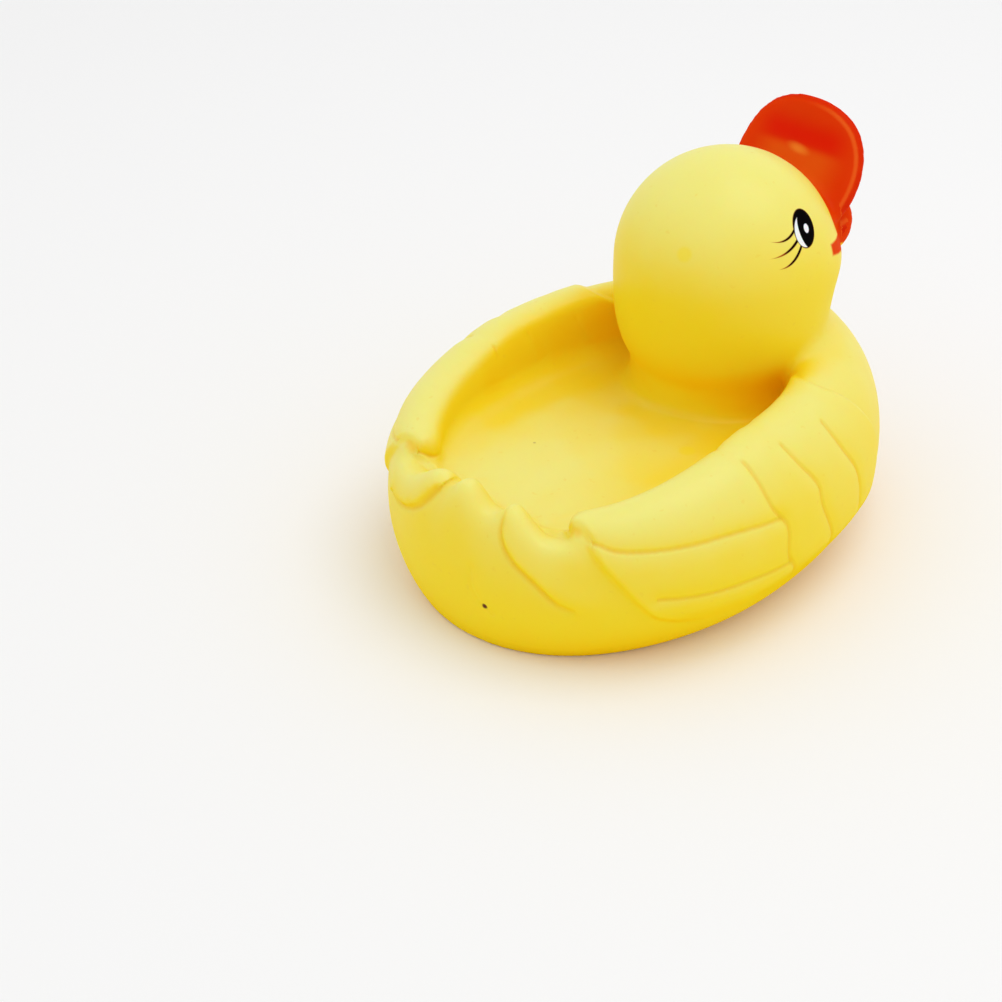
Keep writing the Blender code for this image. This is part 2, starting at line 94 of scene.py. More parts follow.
BILL_ROOT_FORWARD = 0.0130
BILL_ROOT_RISE = 0.0010
BILL_SLOPES = (math.radians(32), math.radians(86))
BILL_FULLNESS = 2.25
BILL_EDGE_FULLNESS = 0.6
# Each paddle: length, half width, thickness, dish, drop
UPPER_BILL = (0.0350, 0.0173, 0.0056, 0.0010, 0.0)
LOWER_BILL = (0.0180, 0.0164, 0.0074, 0.0, 0.0064)

HOLE_RADIUS = 0.0050
HOLE_DEPTH = 0.0100
RECESS_RADIUS = 0.0095
RECESS_DEPTH = 0.0016

# Wing seen from the side, and its feather lines, as points (forward, height)
WING_OUTLINE = (
    (0.0150, 0.0520), (0.0230, 0.0440), (0.0285, 0.0405), (0.0350, 0.0340), (0.0385, 0.0280),
    (0.0375, 0.0210), (0.0310, 0.0130), (0.0150, 0.0085), (-0.0050, 0.0080), (-0.0220, 0.0100),
    (-0.0330, 0.0135), (-0.0375, 0.0180), (-0.0405, 0.0230), (-0.0428, 0.0275), (-0.0433, 0.0310),
    (-0.0426, 0.0340), (-0.0420, 0.0520),
)
FEATHER_LINES = (
    ((0.0165, 0.0400), (0.0182, 0.0365), (0.0207, 0.0324), (0.0244, 0.0273), (0.0264, 0.0219),
     (0.0271, 0.0160)),
    ((0.0020, 0.0405), (0.0040, 0.0368), (0.0083, 0.0307), (0.0091, 0.0257), (0.0130, 0.0177),
     (0.0144, 0.0125)),
    ((-0.0085, 0.0400), (-0.0082, 0.0370), (-0.0070, 0.0318), (-0.0035, 0.0266), (-0.0033, 0.0197),
     (-0.0004, 0.0150), (0.0004, 0.0108)),
    ((-0.0425, 0.0318), (-0.0400, 0.0305), (-0.0350, 0.0301), (-0.0270, 0.0300), (-0.0180, 0.0300),
     (-0.0050, 0.0288)),
    ((-0.0023, 0.0171), (-0.0135, 0.0181), (-0.0217, 0.0183), (-0.0290, 0.0188), (-0.0345, 0.0195)),
)
WING_FOOT, WING_FULL = 0.0090, 0.0170
WING_RAISE = 0.0013
WING_EDGE = 0.0017
GROOVE_DEPTH, GROOVE_HALF_WIDTH = 0.00032, 0.00075
PILLOW_DEPTH, PILLOW_HALF_WIDTH = 0.00028, 0.0030

# Tail seen from behind, as points (side, height)
TAIL_CREASE = (
    (0.0078, 0.0390), (0.0090, 0.0350), (0.0100, 0.0315), (0.0118, 0.0285), (0.0145, 0.0256),
    (0.0178, 0.0230), (0.0205, 0.0205), (0.0228, 0.0181), (0.0255, 0.0165),
)
FAR_TAIL_CREASE = (
    (0.0086, 0.0336), (0.0095, 0.0322), (0.0108, 0.0305), (0.0128, 0.0284), (0.0163, 0.0260),
    (0.0196, 0.0246), (0.0225, 0.0240), (0.0250, 0.0242),
)
FAINT_CREASE = ((0.0040, 0.0215), (0.0045, 0.0170), (0.0065, 0.0136), (0.0094, 0.0112))
TAIL_START, TAIL_FULL = -0.0330, -0.0390
TAIL_STEP = 0.0008
TAIL_STEP_FADE = 0.0080
CREASE_DEPTH, CREASE_HALF_WIDTH = 0.00040, 0.0013
FAINT_DEPTH, FAINT_HALF_WIDTH = 0.00018, 0.0010
CREASE_FOOT, CREASE_FULL = 0.0135, 0.0200
# Where the relief fades out: near the neck, towards the head, and in from the rim as shares of the distance
# to its crest
CLEAR_OF_NECK, FULL_FROM_NECK = 0.0010, 0.0050
WING_TOP, WING_TOP_FULL = 0.0520, 0.0480
WING_RIM_SHARE, TAIL_RIM_SHARE, TAIL_RIM_FULL = 0.87, 0.93, 1.0
LOBE_HEIGHT, LOBE_HALF_WIDTH = 0.0058, 0.0042
FINGER_SIDE, FINGER_HEIGHT = 0.0096, 0.0037
FINGER_INNER_WIDTH, FINGER_OUTER_WIDTH = 0.0022, 0.0052
# The moulded tail feathers sit a little to the duck's right
FINGER_SHIFT = 0.0018
SADDLE_START, SADDLE_FULL, SADDLE_TIP, SADDLE_END = 0.0120, 0.0200, 0.0226, 0.0236
SADDLE_DEPTH, SADDLE_OUT = 0.0034, 0.0030

QUARTER_STEPS, BODY_SEGMENTS = 12, 256
SKIN_VOXEL = 0.00089
JOIN_PASSES = 60
EVEN_PASSES = 4
# How strongly, and how far from the neck's wall and the head's surface, the joins are softened
NECK_JOIN_REACH = 0.0120
NECK_JOIN_HEIGHTS = (HEAD_HEIGHT - 0.002, HEAD_HEIGHT - 0.010)
BILL_JOIN_SHARE, BILL_JOIN_OUT, BILL_JOIN_REACH = 0.6, 0.0010, 0.0040
BILL_EVENNESS, BILL_EVEN_FULL = 0.12, 0.0030
LEAST_WEIGHT = 0.02
NEAR_CREASE = 0.0017
CREASE_CUTS = 2

# How much of the sky each point of the skin sees
SKY_RAYS = 28
SKY_REACH = 0.08
SKY_LIFT = 0.0003
SKY_PASSES = 8
# The bill's outline is read at this many places along it, and only clear of the head
BILL_STATIONS = 350
BILL_CLEAR = (HEAD_RADIUS + 0.0012, HEAD_RADIUS + 0.0032)


def deselect():
    for obj in bpy.context.view_layer.objects:
        obj.select_set(False)


def named(name):
    bpy.context.object.name = name
    bpy.context.object.data.name = name
    return bpy.context.object


def apply_modifier(obj, kind, **settings):
    deselect()
    obj.select_set(True)
    bpy.context.view_layer.objects.active = obj
    made = obj.modifiers.new(kind, kind)
    for name, value in settings.items():
        setattr(made, name, value)
    bpy.ops.object.modifier_apply(modifier=made.name)


def ease(share):
    share = np.clip(share, 0, 1)
    return share * share * (3 - 2 * share)


def rising(values, start, full):
    """0 up to `start`, 1 from `full` on, and eased between. With `full` below `start` it falls instead."""
    return ease((values - start) / (full - start))


def grown(egg, by):
    return egg._replace(half_width=egg.half_width + by, front=egg.front + by, back=egg.back + by)


def between(first, second, share):
    return Egg(*(a + (b - a) * share for a, b in zip(first, second)))


def egg_point(egg, angle):
    """Point (side, forward) of an egg outline, at an angle from straight ahead."""
    c, s = math.cos(angle), math.sin(angle)
    reach = (abs(c) ** egg.fullness + abs(s) ** egg.fullness) ** (-1 / egg.fullness)
    length = egg.front - egg.middle if c > 0 else egg.back + egg.middle
    return egg.half_width * s * reach, egg.middle + length * c * reach


def saddle(angle):
    """Share of the saddle's depth at an angle from straight ahead: it deepens up to the wing's tip."""
    side, forward = egg_point(RIM, angle)
    deeper, ending = rising(abs(side), SADDLE_START, SADDLE_FULL), rising(abs(side), SADDLE_END, SADDLE_TIP)
    return float(deeper * ending) if forward < 0 else 0.0


def rim_height(angle):
    """Height of the rim at an angle from straight ahead, with the tail's lobes and saddles."""
    turn = math.degrees(math.acos(max(-1.0, min(1.0, math.cos(angle)))))
    side, forward = egg_point(RIM, angle)
    lobe = LOBE_HEIGHT * math.exp(-((side / LOBE_HALF_WIDTH) ** 2))
    from_finger = abs(side + FINGER_SHIFT) - FINGER_SIDE
    finger_width = FINGER_OUTER_WIDTH if from_finger > 0 else FINGER_INNER_WIDTH
    finger = FINGER_HEIGHT * math.exp(-((from_finger / finger_width) ** 2))
    height = float(np.interp(turn, RIM_TURNS, RIM_HEIGHTS))
    height += (lobe + finger) * float(rising(forward, TAIL_START, TAIL_FULL))
    return height - SADDLE_DEPTH * saddle(angle)


def bowl_rings(steps):
    """Rings up the body's side, over the rim and down into the bowl: outline, height by angle, and the share
    of the saddle's outward shift that the ring takes part in."""
    lip = grown(RIM, -RIM_ROLL)
    floor = grown(lip, -FLOOR_FILLET)

    def drop(angle):
        return min(RIM_DROP, (rim_height(angle) - FLOOR_HEIGHT) / 2)

    rings = [(grown(BASE, -BASE_SPARE / math.tan(BASE_ANGLE)), lambda t: -BASE_SPARE, 0)]
    for k in range(steps + 1):
        a = BASE_ANGLE + (math.pi / 2 - BASE_ANGLE) * k / steps
        out = (math.sin(a) - math.sin(BASE_ANGLE)) / (1 - math.sin(BASE_ANGLE))
        up = BELLY_HEIGHT * (1 - math.cos(a) / math.cos(BASE_ANGLE))
        rings.append((between(BASE, BELLY, out), lambda t, up=up: up, 0))
    quarter = [math.pi / 2 * k / steps for k in range(1, steps + 1)]
    for a in quarter:
        rings.append((
            between(BELLY, RIM, 1 - math.cos(a)),
            lambda t, up=math.sin(a): BELLY_HEIGHT + (rim_height(t) - BELLY_HEIGHT) * up,
            1 - math.cos(a),
        ))
    for a in quarter:
        rings.append((
            between(RIM, lip, math.sin(a)),
            lambda t, down=1 - math.cos(a): rim_height(t) - drop(t) * down,
            1,
        ))
    for a in [0.0] + quarter:
        rings.append((
            between(lip, floor, 1 - math.cos(a)),
            lambda t, up=1 - math.sin(a): FLOOR_HEIGHT
            + up * min(FILLET_RISE, rim_height(t) - drop(t) - FLOOR_HEIGHT),
            math.cos(a),
        ))
    return rings


def model_bowl():
    """Body with its bowl: a ball whose rings are laid on the egg outlines, from base to bowl floor."""
    rings = bowl_rings(QUARTER_STEPS)
    deselect()
    bpy.ops.mesh.primitive_uv_sphere_add(segments=BODY_SEGMENTS, ring_count=len(rings) + 1, radius=1)
    body = named("duck_skin")
    for vertex in body.data.vertices:
        x, y, z = vertex.co
        ring = round(math.acos(max(-1.0, min(1.0, -z))) / math.pi * (len(rings) + 1)) - 1
        if 0 <= ring < len(rings):
            outline, height, shifted = rings[ring]
            angle = math.atan2(x, -y)
            side, forward = egg_point(grown(outline, SADDLE_OUT * saddle(angle) * shifted), angle)
            vertex.co = (side, -forward, height(angle))
        else:
            vertex.co = (0, 0, -BASE_SPARE if z < 0 else FLOOR_HEIGHT)
    return body


def cheek_swell(side, back, up):
    """How far the cheeks stand out, at a point measured from the head's middle."""
    turn = math.atan2(side, -back)
    from_cheek = (abs(turn) - CHEEK_TURN) / CHEEK_SPREAD, (up - CHEEK_RISE) / CHEEK_HALF_HEIGHT
    swell = CHEEK_SWELL * math.exp(-math.hypot(*from_cheek) ** 2)
    return Vector((swell * math.sin(turn), -swell * math.cos(turn), 0))


def model_head():
    """Ball whose lower half is fuller, so that it runs down into the neck."""
    deselect()
    bpy.ops.mesh.primitive_uv_sphere_add(segments=128, ring_count=64, radius=1)
    head = named("head")
    for vertex in head.data.vertices:
        x, y, z = vertex.co
        across = math.hypot(x, y)
        radius = HEAD_RADIUS
        if z < 0:
            wide = max(0.0, 1 - min(1.0, -z) ** JOWL_FULLNESS) ** (1 / JOWL_FULLNESS)
            radius *= wide / across if across > 0.001 else 0.0
        vertex.co = (x * radius, y * radius * HEAD_LENGTH_SHARE, z * (HEAD_RADIUS if z > 0 else JOWL_DEPTH))
        vertex.co += cheek_swell(*vertex.co) + Vector((0, -HEAD_FORWARD, HEAD_HEIGHT))
    return head


def model_neck():
    foot = FLOOR_HEIGHT - NECK_SINK
    deselect()
    bpy.ops.mesh.primitive_cylinder_add(
        vertices=128, radius=NECK_RADIUS, depth=HEAD_HEIGHT - foot,
        location=(0, -HEAD_FORWARD, (HEAD_HEIGHT + foot) / 2),
    )
    bpy.ops.object.transform_apply(location=True)
    return named("neck")


def bill_curve(distance):
    """Point (forward, height) on the bill's centre line, and the line's slope there."""
    steps = 24
    forward, height = HEAD_FORWARD + BILL_ROOT_FORWARD, HEAD_HEIGHT + BILL_ROOT_RISE
    turn = (BILL_SLOPES[1] - BILL_SLOPES[0]) * distance / UPPER_BILL[0]
    for k in range(steps):
        slope = BILL_SLOPES[0] + turn * (k + 0.5) / steps
        forward += distance / steps * math.cos(slope)
        height += distance / steps * math.sin(slope)
    return forward, height, BILL_SLOPES[0] + turn


def model_bill(name, length, half_width, thickness, dish, drop):
    """Flattened ball bent along the bill's curve: wide, round at the end and dished on top."""
    deselect()
    bpy.ops.mesh.primitive_uv_sphere_add(segments=96, ring_count=48, radius=1)
    bill = named(name)
    for vertex in bill.data.vertices:
        x, y, z = vertex.co
        flat = math.hypot(x, y)
        if flat > 0.001:
            full = flat / (abs(x) ** BILL_FULLNESS + abs(y) ** BILL_FULLNESS) ** (1 / BILL_FULLNESS)
            x, y = x * full, y * full
        along = length * (1 - y) / 2
        forward, height, slope = bill_curve(along)
        edge = min(1.0, max(abs(x), 2 * along / length - 1) ** 2)
        lift = math.copysign(abs(z) ** BILL_EDGE_FULLNESS, z) * thickness / 2 - drop - dish * (1 - edge)
        vertex.co = (x * half_width, -(forward - lift * math.sin(slope)), height + lift * math.cos(slope))
    return bill


def mesh_array(mesh, what):
    values = np.empty(len(mesh.vertices) * 3)
    mesh.vertices.foreach_get(what, values)
    return values.reshape(-1, 3)


def distance_to(line, across, up):
    """Distance of each point (across, up) from a line of points, and the side of the line that it is on."""
    best = np.full(len(across), np.inf)
    side = np.ones(len(across))
    for (ax, ay), (bx, by) in zip(line[:-1], line[1:]):
        dx, dy = bx - ax, by - ay
        share = np.clip(((across - ax) * dx + (up - ay) * dy) / (dx * dx + dy * dy), 0, 1)
        gap = np.hypot(across - ax - share * dx, up - ay - share * dy)
        turn = np.sign(dx * (up - ay) - dy * (across - ax))
        side = np.where(gap < best, turn, side)
        best = np.minimum(best, gap)
    return best, side


def rounded(line, steps=6):
    """The line's points with a smooth curve laid through them."""
    points = np.array(line)
    ends = np.vstack((2 * points[0] - points[1], points, 2 * points[-1] - points[-2]))
    share = np.linspace(0, 1, steps, endpoint=False)[:, None]
    curve = []
    for before, first, second, after in zip(ends[:-3], ends[1:-2], ends[2:-1], ends[3:]):
        curve.append(0.5 * (
            2 * first + (second - before) * share
            + (2 * before - 5 * first + 4 * second - after) * share ** 2
            + (3 * first - before - 3 * second + after) * share ** 3
        ))
    return [tuple(point) for point in np.vstack(curve)] + [tuple(points[-1])]


def is_inside(line, across, up):
    inside = np.zeros(len(across), bool)
    for (ax, ay), (bx, by) in zip(line, line[1:] + line[:1]):
        crosses = (ay > up) != (by > up)
        at = ax + (up - ay) / (by - ay if by != ay else 1) * (bx - ax)
        inside ^= crosses & (across < at)
    return inside


def rim_share(side, forward):
    """Distance out from the rim's widest place, as a share of the distance to the rim's crest that way."""
    length = np.where(forward > RIM.middle, RIM.front - RIM.middle, RIM.back + RIM.middle)
    across, along = side / RIM.half_width, np.abs(forward - RIM.middle) / length
    return (across ** RIM.fullness + along ** RIM.fullness) ** (1 / RIM.fullness)


def tail_side(points):
    """Distance of each point to the side of the tail feathers' own middle."""
    return np.abs(points[:, 0] + FINGER_SHIFT)


def near_crease(points):
    """Which points lie close to a feather's edge."""
    side, forward, height = np.abs(points[:, 0]), -points[:, 1], points[:, 2]
    near = np.zeros(len(points), bool)
    for line in (WING_OUTLINE, *FEATHER_LINES):
        near |= distance_to(rounded(line), forward, height)[0] < NEAR_CREASE
    near &= rim_share(side, forward) > WING_RIM_SHARE
    behind = forward < TAIL_START
    for line in (TAIL_CREASE, FAR_TAIL_CREASE, FAINT_CREASE):
        near |= (distance_to(rounded(line), tail_side(points), height)[0] < NEAR_CREASE) & behind
    return near & (np.hypot(side, forward - HEAD_FORWARD) > NECK_RADIUS) & (height > WING_FOOT)


def feather_relief(points):
    """How far the skin moves along its normal for wings and tail, and how deep in a crease it lies."""
    side, forward, height = np.abs(points[:, 0]), -points[:, 1], points[:, 2]
    from_neck = np.hypot(side, forward - HEAD_FORWARD)
    on_body = rising(from_neck, NECK_RADIUS + CLEAR_OF_NECK, NECK_RADIUS + FULL_FROM_NECK)
    on_body *= rising(height, WING_TOP, WING_TOP_FULL)
    from_bowl = rim_share(side, forward)
    outline = rounded(WING_OUTLINE)
    inside = is_inside(outline, forward, height)
    gap, _ = distance_to(outline, forward, height)
    on_wing = rising(height, WING_FOOT, WING_FULL) * on_body
    on_wing *= rising(from_bowl, WING_RIM_SHARE, TAIL_RIM_SHARE)
    wing = WING_RAISE * ease(0.5 + np.where(inside, gap, -gap) / WING_EDGE)
    crease = np.zeros(len(points))
    for line in FEATHER_LINES:
        gap, _ = distance_to(rounded(line), forward, height)
        groove = rising(gap, GROOVE_HALF_WIDTH, 0) * inside
        wing -= GROOVE_DEPTH * groove + PILLOW_DEPTH * rising(gap, PILLOW_HALF_WIDTH, 0) * inside
        crease = np.maximum(crease, groove * on_wing)
    near_gap, near_turn = distance_to(rounded(TAIL_CREASE), tail_side(points), height)
    far_gap, far_turn = distance_to(rounded(FAR_TAIL_CREASE), tail_side(points), height)
    far = points[:, 0] > -FINGER_SHIFT
    gap, turn = np.where(far, far_gap, near_gap), np.where(far, far_turn, near_turn)
    outer = TAIL_STEP * rising(gap, -CREASE_HALF_WIDTH / 3, CREASE_HALF_WIDTH)
    outer *= rising(gap, TAIL_STEP_FADE, 0)
    groove = rising(gap, CREASE_HALF_WIDTH, 0)
    on_tail = rising(forward, TAIL_START, TAIL_FULL) * ~inside
    on_tail = on_tail * rising(from_bowl, TAIL_RIM_SHARE, TAIL_RIM_FULL)
    above_foot = rising(height, CREASE_FOOT, CREASE_FULL)
    tail = (np.where(turn > 0, outer, 0) - CREASE_DEPTH * groove) * above_foot
    gap, _ = distance_to(rounded(FAINT_CREASE), tail_side(points), height)
    tail -= FAINT_DEPTH * rising(gap, FAINT_HALF_WIDTH, 0) * (points[:, 0] < 0)
    return wing * on_wing + tail * on_tail, np.maximum(crease, groove * on_tail * above_foot)


def soften_joins(skin):
    """Soft fillets where the neck leaves the bowl and the chest, and where the bill leaves the head."""
    points = mesh_array(skin.data, "co")
    height = points[:, 2]
    from_axis = np.hypot(points[:, 0], points[:, 1] + HEAD_FORWARD)
    neck = rising(np.abs(from_axis - NECK_RADIUS), NECK_JOIN_REACH, 0)
    neck *= rising(height, *NECK_JOIN_HEIGHTS) * rising(height, BELLY_HEIGHT, FLOOR_HEIGHT)
    from_head = np.linalg.norm(points - np.array((0, -HEAD_FORWARD, HEAD_HEIGHT)), axis=1)
    bill = BILL_JOIN_SHARE * rising(np.abs(from_head - HEAD_RADIUS - BILL_JOIN_OUT), BILL_JOIN_REACH, 0)
    bill *= (points[:, 1] < -HEAD_FORWARD - HEAD_RADIUS / 2) & (height > HEAD_HEIGHT - LOWER_BILL[4])
    paddle = BILL_EVENNESS * rising(from_head, HEAD_RADIUS, HEAD_RADIUS + BILL_EVEN_FULL)
    paddle *= height > HEAD_HEIGHT
    weight = np.maximum(np.maximum(neck, bill), paddle)
    group = skin.vertex_groups.new(name="joins")
    for index in np.flatnonzero(weight > LEAST_WEIGHT):
        group.add([int(index)], float(weight[index]), "REPLACE")
    apply_modifier(skin, "SMOOTH", factor=0.5, iterations=JOIN_PASSES, vertex_group=group.name)
    apply_modifier(skin, "SMOOTH", factor=0.5, iterations=EVEN_PASSES)
    skin.vertex_groups.clear()


def refine_creases(skin):
    """Finer faces beside the feathers' edges, evened out so that none of the coarser ones shows."""
    near = near_crease(mesh_array(skin.data, "co"))
    deselect()
    skin.select_set(True)
    bpy.context.view_layer.objects.active = skin
    bpy.ops.object.mode_set(mode="EDIT")
    bpy.ops.mesh.select_mode(type="VERT")
    bpy.ops.mesh.select_all(action="DESELECT")
    bpy.ops.object.mode_set(mode="OBJECT")
    skin.data.vertices.foreach_set("select", near)
    bpy.ops.object.mode_set(mode="EDIT")
    bpy.ops.mesh.select_mode(type="VERT")
    bpy.ops.mesh.subdivide(number_cuts=CREASE_CUTS, smoothness=1.0)
    bpy.ops.mesh.vertices_smooth(factor=0.5, repeat=3)
    bpy.ops.object.mode_set(mode="OBJECT")


def sky_directions():
    """Even spread of directions over the upper half of the sky."""
    golden = math.pi * (3 - math.sqrt(5))
    for k in range(SKY_RAYS):
        up = (k + 0.5) / SKY_RAYS
        flat = math.sqrt(1 - up * up)
        yield Vector((flat * math.cos(golden * k), flat * math.sin(golden * k), up))


def sky_share(mesh):
    """Share of the sky's light on each vertex: 1 on open level places, less on sides and in hollows."""
    tree = BVHTree.FromPolygons([v.co for v in mesh.vertices], [tuple(p.vertices) for p in mesh.polygons])
    directions = list(sky_directions())
    shares = np.zeros(len(mesh.vertices))
    for index, vertex in enumerate(mesh.vertices):
        start = vertex.co + vertex.normal * SKY_LIFT
        for direction in directions:
            facing = direction.dot(vertex.normal)
            if facing > 0 and tree.ray_cast(start, direction, SKY_REACH)[0] is None:
                shares[index] += 2 * facing / SKY_RAYS
    ends = np.empty(len(mesh.edges) * 2, int)
    mesh.edges.foreach_get("vertices", ends)
    first, second = ends[0::2], ends[1::2]
    count = np.bincount(ends, minlength=len(shares))
    for _ in range(SKY_PASSES):
        total = np.bincount(first, shares[second], len(shares))
        total += np.bincount(second, shares[first], len(shares))
        shares = (shares + total / np.maximum(count, 1)) / 2
    return shares


def bill_edge(points):
    """How near each point is to the upper bill's outline: 0 in its middle and off it, 1 on the outline."""
    side, forward, height = np.abs(points[:, 0]), -points[:, 1], points[:, 2]
    length, half_width, thickness = UPPER_BILL[:3]
    nearest, along_bill = np.full(len(points), np.inf), np.zeros(len(points))
    for distance in np.linspace(0, length, BILL_STATIONS):
        ahead, up, _ = bill_curve(distance)
        gap = np.hypot(forward - ahead, height - up)
        along_bill = np.where(gap < nearest, distance, along_bill)
        nearest = np.minimum(nearest, gap)
    reach = (side / half_width) ** BILL_FULLNESS + np.abs(2 * along_bill / length - 1) ** BILL_FULLNESS
    from_head = np.linalg.norm(points - np.array((0, -HEAD_FORWARD, HEAD_HEIGHT)), axis=1)
    clear = rising(from_head, *BILL_CLEAR)
    return np.where(nearest < thickness, reach ** (1 / BILL_FULLNESS), 0) * clear


def cut_round_hole(skin, name, radius, depth):
    deselect()
    bpy.ops.mesh.primitive_cylinder_add(vertices=96, radius=radius, depth=2 * depth, location=(0, 0, 0))
    cutter = named(name)
    apply_modifier(skin, "BOOLEAN", operation="DIFFERENCE", object=cutter, solver="EXACT")
    bpy.data.objects.remove(cutter, do_unlink=True)


def model_duck():
    skin = model_bowl()
    blanks = [model_head(), model_neck()]
    blanks += [model_bill("upper_bill", *UPPER_BILL), model_bill("lower_bill", *LOWER_BILL)]
    deselect()
    for obj in blanks + [skin]:
        obj.select_set(True)
    bpy.context.view_layer.objects.active = skin
    bpy.ops.object.join()
    apply_modifier(skin, "REMESH", mode="VOXEL", voxel_size=SKIN_VOXEL)
    soften_joins(skin)
    refine_creases(skin)
    points, normals = mesh_array(skin.data, "co"), mesh_array(skin.data, "normal")
    raised, creased = feather_relief(points)
    points += normals * raised[:, None]
    skin.data.vertices.foreach_set("co", points.ravel())
    skin.data.attributes.new("crease", "FLOAT", "POINT").data.foreach_set("value", creased)
    skin.data.attributes.new("bill_edge", "FLOAT", "POINT").data.foreach_set("value", bill_edge(points))
    skin.data.update()
    skin.data.attributes.new("sky", "FLOAT", "POINT").data.foreach_set("value", sky_share(skin.data))
    bpy.ops.object.mode_set(mode="EDIT")
    bpy.ops.mesh.select_all(action="SELECT")
    bpy.ops.mesh.bisect(plane_co=(0, 0, 0), plane_no=(0, 0, 1), use_fill=True, clear_inner=True,
                        threshold=0.000001)
    bpy.ops.object.mode_set(mode="OBJECT")
    cut_round_hole(skin, "recess_cutter", RECESS_RADIUS, RECESS_DEPTH)
    cut_round_hole(skin, "hole_cutter", HOLE_RADIUS, HOLE_DEPTH)
    skin.location.y = HOLE_Y
    deselect()
    skin.select_set(True)
    bpy.context.view_layer.objects.active = skin
    bpy.ops.object.transform_apply(location=True)
    bpy.ops.object.shade_smooth_by_angle(angle=math.radians(50))
    return skin


# Materials

def wire(tree, value, socket):
    """Feeds a socket from another socket, or sets it to a plain value."""
    if isinstance(value, bpy.types.NodeSocket):
        tree.links.new(value, socket)
    else:
        socket.default_value = value


def maths(tree, operation, *values):
    made = tree.nodes.new("ShaderNodeMath")
    made.operation = operation
    for value, socket in zip(values, made.inputs):
        wire(tree, value, socket)
    return made.outputs[0]


def times(tree, first, second):
    return maths(tree, "MULTIPLY", first, second)


def minus(tree, first, second):
    return maths(tree, "SUBTRACT", first, second)


def along(tree, vector, direction):
    """Distance of a point along a direction."""
    made = tree.nodes.new("ShaderNodeVectorMath")
    made.operation = "DOT_PRODUCT"
    wire(tree, vector, made.inputs[0])
    wire(tree, direction, made.inputs[1])
    return made.outputs["Value"]


def rise(tree, value, start, full):
    """0 up to `start`, 1 from `full` on, and eased between."""
    made = tree.nodes.new("ShaderNodeMapRange")
    made.interpolation_type = "SMOOTHSTEP"
    wire(tree, value, made.inputs["Value"])
    made.inputs["From Min"].default_value = start
    made.inputs["From Max"].default_value = full
    return made.outputs["Result"]


def blend(tree, share, first, second):
    """Colour between two colours."""
    made = tree.nodes.new("ShaderNodeMix")
    made.data_type = "RGBA"
    sockets = [s for s in made.inputs if s.enabled]
    for value, socket in zip((share, first, second), sockets):
        wire(tree, value, socket)
    return [s for s in made.outputs if s.enabled][0]


def blend_value(tree, share, first, second):
    """Value between two values."""
    made = tree.nodes.new("ShaderNodeMix")
    made.data_type = "FLOAT"
    for value, socket in zip((share, first, second), [s for s in made.inputs if s.enabled]):
        wire(tree, value, socket)
    return [s for s in made.outputs if s.enabled][0]


def noise(tree, vector, scale, detail, roughness=0.5):
    made = tree.nodes.new("ShaderNodeTexNoise")
    wire(tree, vector, made.inputs["Vector"])
    made.inputs["Scale"].default_value = scale
    made.inputs["Detail"].default_value = detail
    made.inputs["Roughness"].default_value = roughness
    return made.outputs["Fac"]


def new_group(name, inputs, outputs):
    """Empty node group, with its input and output nodes."""
    group = bpy.data.node_groups.new(name, "ShaderNodeTree")
    for label in inputs:
        kind = "NodeSocketVector" if label == "Vector" else "NodeSocketFloat"
        group.interface.new_socket(name=label, in_out="INPUT", socket_type=kind)
    for label in outputs:
        group.interface.new_socket(name=label, in_out="OUTPUT", socket_type="NodeSocketFloat")
    return group, group.nodes.new("NodeGroupInput").outputs, group.nodes.new("NodeGroupOutput").inputs


def place(tree, group, **values):
    """Puts a node group in a material and sets its inputs."""
    made = tree.nodes.new("ShaderNodeGroup")
    made.node_tree = group
    for name, value in values.items():
        wire(tree, value, made.inputs[name.replace("_", " ").capitalize()])
    return made.outputs


def grain_group():
    """Moulded surface: slow clouding of the tone, a dust of specks and the height of its fine dimples."""
    group, given, result = new_group("moulded_grain", ("Vector",), ("Cloud", "Specks", "Height"))
    cloud = noise(group, given["Vector"], 32.0, 3.0)
    specks = rise(group, noise(group, given["Vector"], 620.0, 1.0), 0.70, 0.78)
    fine = noise(group, given["Vector"], 900.0, 2.0)
    slow = noise(group, given["Vector"], 90.0, 2.0)
    wire(group, rise(group, cloud, 0.30, 0.70), result["Cloud"])
    wire(group, specks, result["Specks"])
    wire(group, maths(group, "MULTIPLY_ADD", slow, 2.0, fine), result["Height"])
    return group


def egg_mark_group():
    """Leaning oval: millimetres inside its edge, measured across its narrow way."""
    labels = ("U", "V", "Middle u", "Middle v", "Half width", "Half height", "Lean")
    group, given, result = new_group("egg_mark", labels, ("Inside",))
    up = minus(group, given["V"], given["Middle v"])
    across = minus(group, given["U"], given["Middle u"])
    across = minus(group, across, times(group, up, given["Lean"]))
    wide = maths(group, "ABSOLUTE", maths(group, "DIVIDE", across, given["Half width"]))
    high = maths(group, "ABSOLUTE", maths(group, "DIVIDE", up, given["Half height"]))
    squares = maths(group, "ADD", maths(group, "POWER", wide, 2.0), maths(group, "POWER", high, 2.0))
    reach = maths(group, "SQRT", squares)
    wire(group, times(group, minus(group, 1.0, reach), given["Half width"]), result["Inside"])
    return group


